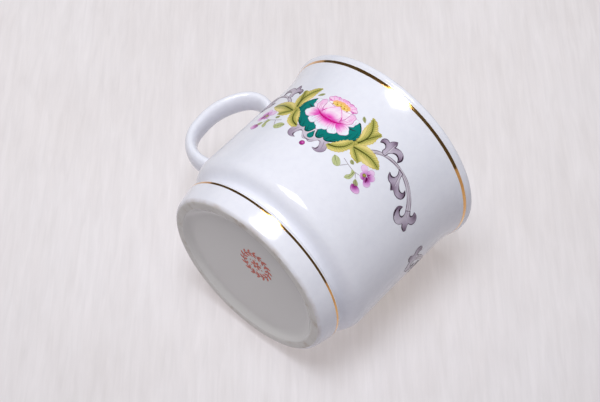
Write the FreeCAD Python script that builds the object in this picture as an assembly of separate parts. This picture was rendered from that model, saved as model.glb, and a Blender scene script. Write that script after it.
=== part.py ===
import FreeCAD, Part
import math
import os

V = FreeCAD.Vector

# The cup is drawn about its own axis, then moved so that the origin lies under the middle of the
# box round cup and handle. All sizes are in mm. Z is up, the handle points along -X and the front
# decal faces -Y.

# Body
wall_radius = 38.5            # outer radius of the straight wall
inner_radius = 35.7           # inner radius of the straight wall
wall_bottom = 18.5            # where the straight outer wall starts
wall_top = 60.0               # where the flare to the lip starts
floor_height = 7.5            # inside floor above the table
floor_fillet = 16.0           # radius between inside floor and inside wall
recess_depth = 2.0            # height of the glazed underside above the table
drum_line = ((35.22, 6.9), (35.32, 7.9))      # straight stretch under the top edge of the foot drum

# Gold bands
gold_thickness = 0.12
foot_band_low = 7.03
foot_band_high = 7.81
rim_band_low = 69.99
rim_band_high = 71.11
flare_line = ((39.72, 69.2), (40.28, 71.2))    # straight stretch of the flare under the rim band

# Handle
strap_depth = 4.4             # thickness of the strap, measured in the handle's plane
strap_width = 9.0             # width of the strap, measured across the plane
root_growth = 0.42            # how much wider the strap is where it meets the wall
root_length = 5.5             # length of that swelling
root_steps = 7
handle_points = ((36.0, 56.0), (52.3, 66.6), (62.6, 52.0), (59.6, 27.0), (36.0, 29.0))
handle_radii = (9.0, 22.0, 13.5)

# Printed decals
enamel_thickness = 0.12
front_decal_angle = 1.4       # turn of the front decal from facing straight along -Y
rear_decal_angle = 167.0      # the rear decal was placed a little short of straight opposite
decal_rise = 0.3              # the decals sit this much above the heights they are drawn at

axis_offset = 11.33           # cup axis to the middle of the box


def save(name, shape):
    moved = shape.copy()
    moved.translate(V(axis_offset, 0, 0))
    moved.exportStep("parts/%s.step" % name)


# ---------------------------------------------------------------- profile helpers

def at(point):
    return V(point[0], 0, point[1])


def line(start, end):
    return Part.makeLine(at(start), at(end))


def arc(start, middle, end):
    return Part.Arc(at(start), at(middle), at(end)).toShape()


def curve(points, first, last):
    """Smooth profile curve through points, with the given end directions."""
    spline = Part.BSplineCurve()
    spline.interpolate(Points=[at(p) for p in points], InitialTangent=at(first),
                       FinalTangent=at(last))
    return spline.toShape()


def turned(edges):
    """Solid of revolution about Z from a closed profile."""
    face = Part.Face(Part.Wire(edges))
    return face.revolve(V(0, 0, 0), V(0, 0, 1), 360)


# ---------------------------------------------------------------- body

def outer_profile():
    """Outside from the bearing ring of the foot up to the outer edge of the lip."""
    flare_slope = (flare_line[1][0] - flare_line[0][0], flare_line[1][1] - flare_line[0][1])
    drum_slope = (drum_line[1][0] - drum_line[0][0], drum_line[1][1] - drum_line[0][1])
    waist = (drum_line[1], (35.24, 8.3), (34.4, 8.75), (33.5, 9.15), (33.2, 9.6), (33.38, 10.4),
             (33.68, 11.2), (34.3, 12.0), (35.4, 12.95), (37.05, 14.4), (38.12, 16.3),
             (wall_radius, wall_bottom))
    flare = ((wall_radius, wall_top), (38.72, 64.0), (39.15, 67.0), flare_line[0])
    return [
        line((29.8, 0), (31.9, 0)),
        arc((31.9, 0), (33.3, 0.5), (33.95, 1.6)),
        curve(((33.95, 1.6), (34.52, 3.6), (34.95, 5.6), drum_line[0]), (0.36, 1), drum_slope),
        line(drum_line[0], drum_line[1]),
        curve(waist, drum_slope, (0, 1)),
        line((wall_radius, wall_bottom), (wall_radius, wall_top)),
        curve(flare, (0, 1), flare_slope),
        line(flare_line[0], flare_line[1]),
        curve((flare_line[1], (40.62, 72.3), (40.85, 73.2)), flare_slope, (0.2, 1)),
    ]


def underside_profile():
    """Glazed recess under the cup, curving down to the bearing ring."""
    return [
        line((0, recess_depth), (25.2, recess_depth)),
        curve(((25.2, recess_depth), (26.6, 1.86), (27.8, 1.42), (28.9, 0.62), (29.8, 0)), (1, 0),
              (0.9, -0.35)),
    ]


def inner_profile():
    """Lip, inside wall and inside floor, back to the axis."""
    fillet_centre = (inner_radius - floor_fillet, floor_height + floor_fillet)
    diagonal = floor_fillet * math.sqrt(0.5)
    inside_flare = ((39.0, 73.35), (38.15, 70.6), (37.15, 67.2), (36.3, 63.0),
                    (inner_radius, 57.0))
    return [
        arc((40.85, 73.2), (40.05, 74.0), (39.0, 73.35)),
        curve(inside_flare, (-0.3, -1), (0, -1)),
        line((inner_radius, 57.0), (inner_radius, fillet_centre[1])),
        arc((inner_radius, fillet_centre[1]),
            (fillet_centre[0] + diagonal, fillet_centre[1] - diagonal),
            (fillet_centre[0], floor_height)),
        line((fillet_centre[0], floor_height), (0, floor_height)),
        line((0, floor_height), (0, recess_depth)),
    ]


def cup_body():
    return turned(underside_profile() + outer_profile() + inner_profile())


def cup_blank():
    """The body without its hollow, to trim what is stuck on outside."""
    top = [line((40.85, 73.2), (0, 73.2)), line((0, 73.2), (0, recess_depth))]
    return turned(underside_profile() + outer_profile() + top)


# ---------------------------------------------------------------- gold bands

def band(low, high, lower_radius, upper_radius):
    """Thin ring on a straight stretch of the profile."""
    corners = [V(lower_radius, 0, low), V(upper_radius, 0, high),
               V(upper_radius + gold_thickness, 0, high), V(lower_radius + gold_thickness, 0, low),
               V(lower_radius, 0, low)]
    return Part.Face(Part.makePolygon(corners)).revolve(V(0, 0, 0), V(0, 0, 1), 360)


def band_on(stretch, low, high):
    """Ring between two heights of a straight stretch given by its two ends."""
    (low_r, low_z), (high_r, high_z) = stretch
    slope = (high_r - low_r) / (high_z - low_z)
    return band(low, high, low_r + slope * (low - low_z), low_r + slope * (high - low_z))


def foot_gold_band():
    return band_on(drum_line, foot_band_low, foot_band_high)


def rim_gold_band():
    return band_on(flare_line, rim_band_low, rim_band_high)


# ---------------------------------------------------------------- handle

def strap_section(centre, direction, growth):
    """Elliptical wire across the strap at a point of its centre line."""
    across = V(0, 1, 0)
    deep = direction.cross(across)
    half_width = strap_width / 2 * growth
    half_depth = strap_depth / 2 * growth
    ellipse = Part.Ellipse(centre + across * half_width, centre + deep * half_depth, centre)
    return Part.Wire([ellipse.toShape()])


def handle_path_point(point):
    return V(-point[0], 0, point[1])


def handle():
    """Strap of straight runs and tangent arcs, swelling where it is luted to the wall."""
    corners = [handle_path_point(p) for p in handle_points]
    pieces = []
    start = corners[0]
    for k, radius in enumerate(handle_radii):
        corner = corners[k + 1]
        inward = (corner - corners[k]).normalize()
        outward = (corners[k + 2] - corner).normalize()
        turn = inward.getAngle(outward)
        reach = radius * math.tan(turn / 2)
        first = corner - inward * reach
        side = (outward - inward * inward.dot(outward)).normalize()
        centre = first + side * radius
        if (first - start).Length > 0.01:
            face = Part.Face(strap_section(start, inward, 1.0))
            pieces.append(face.extrude(first - start))
        face = Part.Face(strap_section(first, inward, 1.0))
        pieces.append(face.revolve(centre, inward.cross(outward).normalize(),
                                   math.degrees(turn)))
        start = corner + outward * reach
    last_run = corners[-1] - start
    face = Part.Face(strap_section(start, V(last_run).normalize(), 1.0))
    pieces.append(face.extrude(last_run))
    pieces += [handle_root(corners[0], corners[1]), handle_root(corners[-1], corners[-2])]
    strap = pieces[0].multiFuse(pieces[1:])
    return strap.removeSplitter().cut(cup_blank())


def handle_root(inside, outside):
    """Swelling of the strap towards the wall."""
    direction = (outside - inside).normalize()
    lead = (wall_radius - abs(inside.x)) / abs(direction.x)
    full_length = lead + root_length
    sections = []
    for k in range(root_steps):
        along = full_length * k / (root_steps - 1)
        left_over = 1 - along / full_length
        growth = 1 + 1.6 * root_growth * left_over ** 2
        sections.append(strap_section(inside + direction * along, direction, growth))
    return Part.makeLoft(sections, True, True)


# ---------------------------------------------------------------- printed decals
# Outlines are drawn flat: arc length along the wall to the viewer's right, then height above the
# table. A point written twice running is a corner; every outline starts at a corner.

teal_half = ((0, 50.0), (0, 50.0), (9.7, 53.1), (9.7, 53.1), (11.6, 51.3), (12.7, 49.3), (12.9, 47.7),
             (12.1, 46.2), (10.4, 44.6), (8.8, 42.4), (7.2, 40.9), (6.0, 40.1), (4.8, 39.9),
             (3.9, 40.7), (3.9, 40.7), (3.3, 39.5), (2.4, 39.1), (1.5, 39.6), (0.9, 40.8), (0, 42.4))
teal_drop = ((0, 40.9), (0, 40.9), (0.6, 39.6), (1.05, 38.4), (0.7, 37.6), (0, 37.35), (-0.7, 37.6),
             (-1.05, 38.4), (-0.6, 39.6))
peony_half = ((0, 57.6), (1.2, 57.6), (1.9, 57.2), (1.9, 57.2), (2.9, 57.5), (3.9, 57.1), (3.9, 57.1),
              (5.2, 56.5), (6.0, 55.6), (5.3, 54.8), (4.9, 54.4), (4.9, 54.4), (6.4, 54.1), (7.9, 53.7),
              (9.1, 53.1), (9.2, 52.3), (8.8, 51.3), (8.8, 51.3), (8.7, 50.3), (7.4, 49.3),
              (7.4, 49.3), (8.5, 48.6), (9.3, 47.3), (9.2, 46.2), (7.8, 45.1), (5.9, 45.2),
              (5.9, 45.2), (6.1, 44.2), (5.2, 43.4), (3.7, 43.1), (2.8, 43.8), (2.8, 43.8),
              (2.0, 43.1), (0.9, 42.6), (0, 41.7))
stamen_half = ((0, 56.4), (0.9, 56.1), (0.9, 56.1), (1.6, 56.2), (2.1, 55.9), (2.1, 55.9), (2.9, 55.9),
               (3.4, 55.4), (3.4, 55.4), (3.8, 55.0), (3.5, 54.4), (2.6, 53.8), (1.4, 53.5), (0, 53.5))

tall_leaf = ((11.3, 58.0), (11.3, 58.0), (13.2, 57.6), (14.7, 56.4), (15.7, 55.0), (15.7, 55.0),
             (16.6, 55.3), (17.9, 55.1), (17.9, 55.1), (17.4, 53.4), (17.5, 51.5), (16.9, 49.4),
             (15.7, 47.6), (13.6, 46.2), (13.6, 46.2), (12.9, 47.4), (12.9, 48.8), (12.5, 50.6),
             (12.0, 52.6), (11.9, 54.4), (11.9, 56.2))
side_leaf = ((25.2, 45.5), (25.2, 45.5), (23.4, 44.2), (21.0, 43.2), (18.9, 42.8), (18.9, 42.8),
             (18.6, 41.4), (18.6, 41.4), (16.6, 41.4), (15.0, 42.0), (13.9, 43.2), (13.6, 44.7),
             (13.6, 44.7), (14.9, 46.9), (17.4, 48.2), (20.4, 48.2), (23.4, 47.2))
low_leaf = ((12.7, 46.3), (12.7, 46.3), (13.5, 44.4), (13.0, 42.2), (12.2, 40.4), (11.0, 39.2),
            (9.4, 38.4), (8.0, 38.2), (6.7, 39.1), (6.7, 39.1), (8.0, 40.8), (9.2, 42.8),
            (10.8, 45.0))

centre_scroll_half = ((0, 43.0), (0, 43.0), (6.5, 41.0), (6.5, 41.0), (7.2, 38.8), (8.0, 36.9),
                      (7.4, 35.3), (6.1, 34.5), (4.9, 34.5), (3.8, 35.0), (3.8, 35.0), (4.9, 35.4),
                      (5.2, 36.4), (4.7, 37.7), (3.8, 38.4), (2.9, 37.7), (2.0, 36.4), (1.0, 36.0),
                      (0, 36.4))
scroll_stem = ((18.6, 48.4), (18.6, 48.4), (20.4, 50.0), (22.6, 51.1), (26.0, 52.1), (30.0, 52.4),
               (34.0, 52.0), (38.0, 50.8), (41.4, 49.0), (44.6, 46.6), (44.6, 46.6), (43.0, 45.0),
               (43.0, 45.0), (41.4, 46.8), (38.4, 48.9), (34.4, 50.6), (30.0, 51.5), (26.0, 51.2),
               (22.8, 50.1), (19.4, 47.8), (19.4, 47.8))
scroll_crest = ((22.5, 50.6), (22.5, 50.6), (21.5, 51.5), (21.6, 52.8), (20.6, 53.7), (18.9, 53.0),
                (18.9, 53.0), (18.8, 54.6), (19.8, 55.6), (21.3, 55.5), (21.3, 55.5), (21.9, 56.8),
                (23.1, 57.9), (23.1, 57.9), (23.7, 56.8), (23.6, 55.5), (23.6, 55.5), (25.0, 56.3),
                (26.7, 56.5), (28.1, 55.8), (28.6, 54.4), (27.9, 52.7), (27.9, 52.7), (27.3, 53.7),
                (26.1, 54.1), (24.8, 53.7), (23.6, 52.3), (23.4, 50.9), (23.4, 50.9))
scroll_leaf = ((30.0, 51.7), (30.0, 51.7), (31.0, 50.2), (31.0, 48.8), (30.0, 48.0), (28.4, 48.3),
               (28.4, 48.3), (28.9, 47.0), (30.0, 46.1), (31.5, 45.9), (31.5, 45.9), (33.1, 44.3),
               (33.1, 44.3), (33.8, 45.3), (33.8, 45.3), (35.2, 44.8), (37.0, 45.0), (38.4, 46.3),
               (38.3, 48.0), (36.9, 49.0), (36.9, 49.0), (37.1, 47.8), (36.2, 47.1), (34.8, 47.4),
               (33.4, 48.7), (32.4, 50.4), (32.2, 51.7), (32.2, 51.7))
scroll_end = ((44.4, 46.9), (44.4, 46.9), (45.6, 46.1), (46.4, 46.8), (45.9, 48.2), (45.9, 48.2),
              (47.4, 48.5), (48.9, 47.6), (49.2, 46.1), (48.4, 44.7), (47.4, 44.2), (47.4, 44.2),
              (48.0, 43.1), (48.9, 41.9), (48.4, 41.0), (48.4, 41.0), (47.0, 41.0), (45.6, 41.8),
              (45.6, 41.8), (44.6, 40.3), (42.8, 39.5), (40.9, 40.1), (39.5, 41.8), (39.5, 43.9),
              (40.8, 45.0), (40.8, 45.0), (41.0, 43.4), (42.3, 42.5), (43.4, 43.2), (43.4, 44.4),
              (42.8, 45.4), (42.8, 45.4))

leaflets = (
    ((11.4, 37.9), (11.4, 37.9), (12.9, 38.1), (14.4, 37.3), (15.1, 36.0), (14.2, 35.0), (12.7, 35.2),
     (11.6, 36.5)),
    ((18.8, 38.3), (18.8, 38.3), (20.5, 38.2), (20.5, 38.2), (20.8, 36.4), (20.5, 34.8), (19.0, 34.0),
     (19.0, 34.0), (18.9, 35.2), (19.6, 36.4)),
    ((16.6, 40.9), (16.6, 40.9), (17.8, 40.8), (18.3, 39.9), (17.4, 39.4), (16.7, 39.9)),
    ((8.7, 56.3), (8.7, 56.3), (9.7, 56.0), (10.7, 54.5), (10.7, 54.5), (9.5, 54.8), (8.8, 55.5)),
    ((22.0, 36.7), (22.0, 36.7), (23.2, 36.4), (24.1, 35.6), (23.2, 34.8), (22.2, 35.3)),
)
sprig_stem = ((14.4, 39.3), (17.4, 38.5), (20.4, 38.3), (22.2, 38.8))
bud_stem = ((20.4, 38.3), (21.2, 37.6), (21.9, 36.8))
stem_half_width = 0.16

violet = ((20.4, 41.9), (20.4, 41.9), (20.9, 42.9), (22.2, 42.9), (23.0, 42.2), (23.0, 42.2),
          (23.6, 43.4), (25.0, 43.6), (25.4, 42.7), (25.4, 42.7), (26.6, 42.4), (26.9, 41.0),
          (26.2, 40.2), (26.2, 40.2), (27.0, 39.1), (26.6, 37.7), (25.4, 37.4), (24.2, 38.5),
          (24.2, 38.5), (22.8, 38.4), (21.9, 39.3), (22.0, 40.4), (22.0, 40.4))
violet_bud = ((22.3, 34.5), (22.3, 34.5), (23.2, 35.1), (24.6, 35.3), (25.9, 34.7), (26.2, 33.9),
              (25.2, 32.9), (23.8, 32.7), (22.7, 33.4))
berry_centre = (0.0, 34.3)
berry_radius = 1.0

# Ornament under the foot, seen from above
wreath_centre = (4.5, -8.0)
wreath_radius = 5.6           # to the middle of the ring of leaves
wreath_leaves = 16            # pairs of leaves round the ring


def mirrored(points):
    return tuple((-s, z) for s, z in points)


def both_sides(half):
    """Closed outline from its right half, which runs from the top middle to the bottom middle."""
    left = [(-s, z) for s, z in reversed(half)]
    joined = list(half) + [p for p in left if p[0] < -1e-6]
    if joined[0] != joined[1]:
        joined.insert(0, joined[0])
    return tuple(joined)


def corner_runs(points):
    """Cut a closed outline into smooth runs at its doubled points."""
    runs = []
    run = [points[0]]
    previous = points[0]
    for point in list(points[2:]) + [points[0]]:
        if point == previous:
            runs.append(run)
            run = [point]
        else:
            run.append(point)
        previous = point
    if len(run) > 1:
        runs.append(run)
    return runs


def smooth_edge(vectors):
    if len(vectors) == 2:
        return Part.makeLine(vectors[0], vectors[1])
    spline = Part.BSplineCurve()
    spline.interpolate(vectors)
    return spline.toShape()


def enamel_shell():
    height = wall_top - wall_bottom
    base = V(0, 0, wall_bottom)
    outer = Part.makeCylinder(wall_radius + enamel_thickness, height, base)
    return outer.cut(Part.makeCylinder(wall_radius, height, base))


def on_wall(face_maker, middle):
    """Film on the wall: a flat face drawn square to the wall at the arc length middle."""
    prism = face_maker.extrude(V(0, -20, 0))
    film = prism.common(enamel_shell())
    film.rotate(V(0, 0, 0), V(0, 0, 1), math.degrees(middle / wall_radius))
    return film


def wall_vector(point, middle):
    angle = (point[0] - middle) / wall_radius
    return V(wall_radius * math.sin(angle), -25, point[1])


def patch(points):
    """Film inside one outline."""
    arcs = [p[0] for p in points]
    middle = (min(arcs) + max(arcs)) / 2
    edges = [smooth_edge([wall_vector(p, middle) for p in run]) for run in corner_runs(points)]
    return on_wall(Part.Face(Part.Wire(edges)), middle)


def disc(centre, radius):
    """Round film."""
    circle = Part.Circle(V(0, -25, centre[1]), V(0, -1, 0), radius)
    return on_wall(Part.Face(Part.Wire([circle.toShape()])), centre[0])


def stroke(points):
    """Thin line of enamel along a few points."""
    upper = [(s, z + stem_half_width) for s, z in points]
    lower = [(s, z - stem_half_width) for s, z in reversed(points)]
    return patch([upper[0]] + upper + [upper[-1], lower[0]] + lower[0:] + [lower[-1]])


def merged(shapes):
    if len(shapes) == 1:
        return shapes[0]
    return shapes[0].multiFuse(shapes[1:]).removeSplitter()


def pair(points):
    return [patch(points), patch(mirrored(points))]


def decal():
    """All colour films of one decal, facing -Y, keyed by name. No two of them overlap."""
    peony = patch(both_sides(peony_half))
    stamens = patch(both_sides(stamen_half))
    low_leaves = merged(pair(low_leaf))
    leaves = merged(pair(tall_leaf) + pair(side_leaf) + [low_leaves])
    teal = merged([patch(both_sides(teal_half)), patch(teal_drop)]).cut(peony).cut(leaves)
    centre_scroll = patch(both_sides(centre_scroll_half)).cut(teal).cut(peony).cut(leaves)
    scrolls = []
    violets = []
    sprigs = []
    for turn in (tuple, mirrored):
        parts = [patch(turn(p)) for p in (scroll_stem, scroll_crest, scroll_leaf, scroll_end)]
        scrolls.append(merged(parts).cut(leaves))
        flower = patch(turn(violet))
        bud = patch(turn(violet_bud))
        violets += [flower, bud]
        stems = [stroke(turn(sprig_stem)), stroke(turn(bud_stem))]
        green = merged(stems + [patch(turn(p)) for p in leaflets])
        sprigs.append(green.cut(flower).cut(bud).cut(leaves).cut(peony))
    return {
        "teal_ground": teal,
        "peony": peony.cut(stamens),
        "stamens": stamens,
        "leaves": leaves,
        "centre_scroll": centre_scroll,
        "right_scroll": scrolls[0],
        "left_scroll": scrolls[1],
        "sprigs": Part.makeCompound(sprigs),
        "violets": Part.makeCompound(violets),
        "berry": disc(berry_centre, berry_radius),
    }


# ---------------------------------------------------------------- mark under the foot

def under_film(face):
    """Film on the glazed underside from a flat face drawn at its height."""
    return face.extrude(V(0, 0, -enamel_thickness))


def leaf_face(centre, angle, length, width):
    """Pointed leaf: two arcs that meet at both tips."""
    along = V(math.cos(angle), math.sin(angle), 0)
    across = V(-along.y, along.x, 0)
    middle = V(centre[0], centre[1], recess_depth)
    tips = (middle - along * (length / 2), middle + along * (length / 2))
    sides = (middle + across * (width / 2), middle - across * (width / 2))
    edges = [Part.Arc(tips[0], sides[0], tips[1]).toShape(),
             Part.Arc(tips[1], sides[1], tips[0]).toShape()]
    return Part.Face(Part.Wire(edges))


def rosette(x, y):
    """Six petals round a point."""
    petals = []
    for k in range(6):
        angle = math.radians(60 * k)
        spot = (x + 1.4 * math.cos(angle), y + 1.4 * math.sin(angle))
        petals.append(leaf_face(spot, angle, 2.1, 1.1))
    return petals


def backstamp():
    """Plain ornament: a round wreath of small leaves with one rosette in the middle."""
    x, y = wreath_centre
    faces = rosette(x, y)
    for k in range(wreath_leaves):
        turn = 2 * math.pi * k / wreath_leaves
        for side in (1, -1):
            reach = wreath_radius + side * 0.85
            spot = (x + reach * math.cos(turn), y + reach * math.sin(turn))
            faces.append(leaf_face(spot, turn + math.pi / 2 - side * math.pi / 4, 2.2, 0.85))
    return Part.makeCompound([under_film(face) for face in faces])


os.makedirs("parts", exist_ok=True)
save("cup_body", cup_body())
save("handle", handle())
save("rim_gold_band", rim_gold_band())
save("foot_gold_band", foot_gold_band())
save("backstamp", backstamp())
films = decal()
for film_name, film_shape in films.items():
    for place, angle in (("front", front_decal_angle), ("rear", rear_decal_angle)):
        placed = film_shape.copy()
        placed.rotate(V(0, 0, 0), V(0, 0, 1), angle)
        placed.translate(V(0, 0, decal_rise))
        save("%s_%s" % (place, film_name), placed)
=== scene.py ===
import math

import bpy
import numpy as np
from mathutils import Matrix, Vector
from mathutils.geometry import delaunay_2d_cdt


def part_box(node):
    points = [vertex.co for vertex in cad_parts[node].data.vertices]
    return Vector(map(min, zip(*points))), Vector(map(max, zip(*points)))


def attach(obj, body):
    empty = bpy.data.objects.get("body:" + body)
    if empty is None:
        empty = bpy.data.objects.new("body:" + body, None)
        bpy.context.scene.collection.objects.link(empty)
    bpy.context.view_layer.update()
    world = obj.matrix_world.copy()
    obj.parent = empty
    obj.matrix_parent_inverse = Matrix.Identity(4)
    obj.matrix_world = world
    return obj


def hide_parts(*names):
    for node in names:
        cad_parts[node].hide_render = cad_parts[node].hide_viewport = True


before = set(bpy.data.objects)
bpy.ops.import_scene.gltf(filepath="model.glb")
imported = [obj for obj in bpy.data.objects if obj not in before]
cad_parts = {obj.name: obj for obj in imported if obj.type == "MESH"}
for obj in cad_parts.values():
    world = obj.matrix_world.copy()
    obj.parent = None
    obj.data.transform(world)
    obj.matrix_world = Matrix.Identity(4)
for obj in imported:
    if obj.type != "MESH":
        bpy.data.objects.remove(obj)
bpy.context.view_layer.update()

MM = 0.001
BODY = "root"
RNG = np.random.default_rng(7)

low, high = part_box("cup_body")
AXIS_X = (low.x + high.x) / 2          # the cup's own axis stands at this x

# Sizes shared with the CAD, in mm
WALL = 38.5                            # outer radius of the straight wall
INNER = 35.7                           # inner radius of the straight wall
DRUM = 35.32                           # widest radius of the foot drum
WALL_BOTTOM = 18.5                     # where the straight outer wall starts
WALL_TOP = 60.0                        # where the flare to the lip starts
RECESS = 2.0                           # height of the glazed underside
INSIDE_FLOOR = 7.5                     # height of the inside floor
INSIDE_FILLET = 16.0                   # radius between inside floor and inside wall
FLARE = ((39.72, 69.2), (40.28, 71.2))  # straight stretch under the lip
RIM_LINE = (70.55, 1.12)               # height of the gold line's middle, and its width
FOOT_LINE = (7.42, 0.78)


# ------------------------------------------------------------------ curves

def spline_through(points, first=None, last=None, step=0.4):
    """Points close together on a cubic spline through the given ones (clamped or natural ends)."""
    p = np.array(points, float)
    if len(p) == 2:
        count = max(2, int(np.hypot(*(p[1] - p[0])) / step) + 1)
        t = np.linspace(0, 1, count)[:, None]
        return p[0] * (1 - t) + p[1] * t
    chord = np.maximum(np.hypot(*np.diff(p, axis=0).T), 1e-6)
    knots = np.concatenate([[0], np.cumsum(chord)])
    n = len(p)
    matrix = np.zeros((n, n))
    right = np.zeros((n, 2))
    for k in range(1, n - 1):
        a, b = chord[k - 1], chord[k]
        matrix[k, k - 1], matrix[k, k], matrix[k, k + 1] = b, 2 * (a + b), a
        right[k] = 3 * (b * (p[k] - p[k - 1]) / a + a * (p[k + 1] - p[k]) / b)
    for row, direction, near, h in ((0, first, 1, chord[0]), (n - 1, last, n - 2, chord[-1])):
        matrix[row, row] = 1 if direction is not None else 2
        if direction is not None:
            right[row] = np.array(direction, float) / np.hypot(*direction)
        else:
            matrix[row, near] = 1
            ends = (p[1] - p[0]) if row == 0 else (p[-1] - p[-2])
            right[row] = 3 * ends / h
    slopes = np.linalg.solve(matrix, right)
    out = []
    for k in range(n - 1):
        h = chord[k]
        count = max(2, int(math.ceil(h / step)) + 1)
        t = np.linspace(0, 1, count)[:, None]
        piece = ((2 * t**3 - 3 * t**2 + 1) * p[k] + (t**3 - 2 * t**2 + t) * h * slopes[k]
                 + (-2 * t**3 + 3 * t**2) * p[k + 1] + (t**3 - t**2) * h * slopes[k + 1])
        out.append(piece if k == n - 2 else piece[:-1])
    return np.vstack(out)


def arc_through(start, middle, end, count=9):
    """Points on the circular arc through three points."""
    a, b, c = (np.array(q, float) for q in (start, middle, end))
    system = 2 * np.array([b - a, c - a])
    centre = np.linalg.solve(system, np.array([b @ b - a @ a, c @ c - a @ a]))
    angles = [math.atan2(q[1] - centre[1], q[0] - centre[0]) for q in (a, b, c)]
    for k in (1, 2):
        while angles[k] - angles[k - 1] > math.pi:
            angles[k] -= 2 * math.pi
        while angles[k] - angles[k - 1] < -math.pi:
            angles[k] += 2 * math.pi
    radius = np.hypot(*(a - centre))
    t = np.linspace(angles[0], angles[2], count)
    return centre + radius * np.c_[np.cos(t), np.sin(t)]


def chained(*runs):
    """One polyline from runs that meet end to end."""
    return np.vstack([runs[0]] + [run[1:] for run in runs[1:]])


def unit(vectors):
    """The same 2-D vectors, one to a row, each of length one."""
    return vectors / np.maximum(np.hypot(*vectors.T), 1e-9)[:, None]


# ------------------------------------------------------------------ meshes

def mesh_object(name, verts, faces, material, smooth=True):
    mesh = bpy.data.meshes.new(name)
    mesh.from_pydata([tuple(v) for v in verts], [], faces)
    mesh.update()
    if smooth:
        mesh.polygons.foreach_set("use_smooth", [True] * len(mesh.polygons))
    obj = bpy.data.objects.new(name, mesh)
    bpy.context.scene.collection.objects.link(obj)
    obj.data.materials.append(material)
    return obj


def place(obj, slot, *nodes):
    """The object rides on the cup's body and stands for these CAD nodes, which it hides; slot is not used.
    """
    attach(obj, BODY)
    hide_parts(*nodes)


def ring_points(radius, height, angle):
    """Row-frame metres from cup radius, height (mm) and angle about the cup's axis."""
    return np.stack([AXIS_X + radius * np.cos(angle) * MM, radius * np.sin(angle) * MM,
                     height * MM + 0 * angle], -1)


def revolve(profile, segments):
    """Grid mesh of a profile turned about the cup's axis; a point on the axis becomes one vertex."""
    angles = np.linspace(0, 2 * np.pi, segments, endpoint=False)
    verts, rings = [], []
    for radius, height in profile:
        if radius < 1e-6:
            rings.append([len(verts)] * segments)
            verts.append((AXIS_X, 0, height * MM))
        else:
            start = len(verts)
            verts.extend(ring_points(radius, height, angles))
            rings.append(list(range(start, start + segments)))
    faces = []
    for lower, upper in zip(rings[:-1], rings[1:]):
        for k in range(segments):
            j = (k + 1) % segments
            corners = (lower[k], lower[j], upper[j], upper[k])
            faces.append(tuple(dict.fromkeys(corners)))
    return verts, faces


# ------------------------------------------------------------------ shader helpers

def linear(colour):
    """Linear RGB from 0-255 sRGB numbers."""
    c = np.array(colour, float) / 255
    return np.where(c <= 0.04045, c / 12.92, ((c + 0.055) / 1.055) ** 2.4)


def rgba(colour):
    return tuple(linear(colour)) + (1.0,)


class Nodes:
    """Short names for building a node tree."""

    def __init__(self, name):
        self.material = bpy.data.materials.new(name)
        self.material.use_nodes = True
        self.tree = self.material.node_tree
        self.bsdf = self.tree.nodes["Principled BSDF"]

    def add(self, kind, **settings):
        node = self.tree.nodes.new(kind)
        for key, value in settings.items():
            setattr(node, key, value)
        return node

    def link(self, source, target):
        self.tree.links.new(source, target)

    def position(self):
        return self.add("ShaderNodeTexCoord").outputs["Object"]

    def noise(self, vector, scale, detail=3.0, roughness=0.5, distortion=0.0):
        node = self.add("ShaderNodeTexNoise")
        node.inputs["Scale"].default_value = scale
        node.inputs["Detail"].default_value = detail
        node.inputs["Roughness"].default_value = roughness
        node.inputs["Distortion"].default_value = distortion
        self.link(vector, node.inputs["Vector"])
        return node.outputs["Fac"]

    def stretched(self, vector, scale):
        node = self.add("ShaderNodeMapping")
        node.inputs["Scale"].default_value = scale
        self.link(vector, node.inputs["Vector"])
        return node.outputs["Vector"]

    def ramp(self, factor, stops):
        node = self.add("ShaderNodeValToRGB")
        elements = node.color_ramp.elements
        while len(elements) < len(stops):
            elements.new(0.5)
        for element, (at, colour) in zip(elements, stops):
            element.position = at
            element.color = colour if len(colour) == 4 else tuple(colour) + (1.0,)
        self.link(factor, node.inputs["Fac"])
        return node.outputs["Color"]

    def span(self, factor, low_in, high_in, low_out, high_out):
        node = self.add("ShaderNodeMapRange")
        for key, value in (("From Min", low_in), ("From Max", high_in), ("To Min", low_out),
                           ("To Max", high_out)):
            node.inputs[key].default_value = value
        self.link(factor, node.inputs["Value"])
        return node.outputs["Result"]

    def math(self, operation, first, second):
        node = self.add("ShaderNodeMath", operation=operation)
        for socket, value in zip(node.inputs, (first, second)):
            if isinstance(value, (int, float)):
                socket.default_value = value
            else:
                self.link(value, socket)
        return node.outputs["Value"]

    def mix(self, factor, first, second, blend="MIX"):
        node = self.add("ShaderNodeMix", data_type="RGBA", blend_type=blend)
        for socket, value in ((node.inputs[0], factor), (node.inputs[6], first),
                              (node.inputs[7], second)):
            if isinstance(value, (int, float, tuple)):
                socket.default_value = value
            else:
                self.link(value, socket)
        return node.outputs[2]

    def bump(self, height, strength, distance, under=None):
        node = self.add("ShaderNodeBump")
        node.inputs["Strength"].default_value = strength
        node.inputs["Distance"].default_value = distance
        self.link(height, node.inputs["Height"])
        if under is not None:
            self.link(under, node.inputs["Normal"])
        return node.outputs["Normal"]

    def split(self, vector):
        node = self.add("ShaderNodeSeparateXYZ")
        self.link(vector, node.inputs["Vector"])
        return node.outputs


# ------------------------------------------------------------------ materials

UNDERSIDE_EDGE = (0.00091, 0.00095)    # radius squared, in square metres, where the underside's painted shade ends


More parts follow.
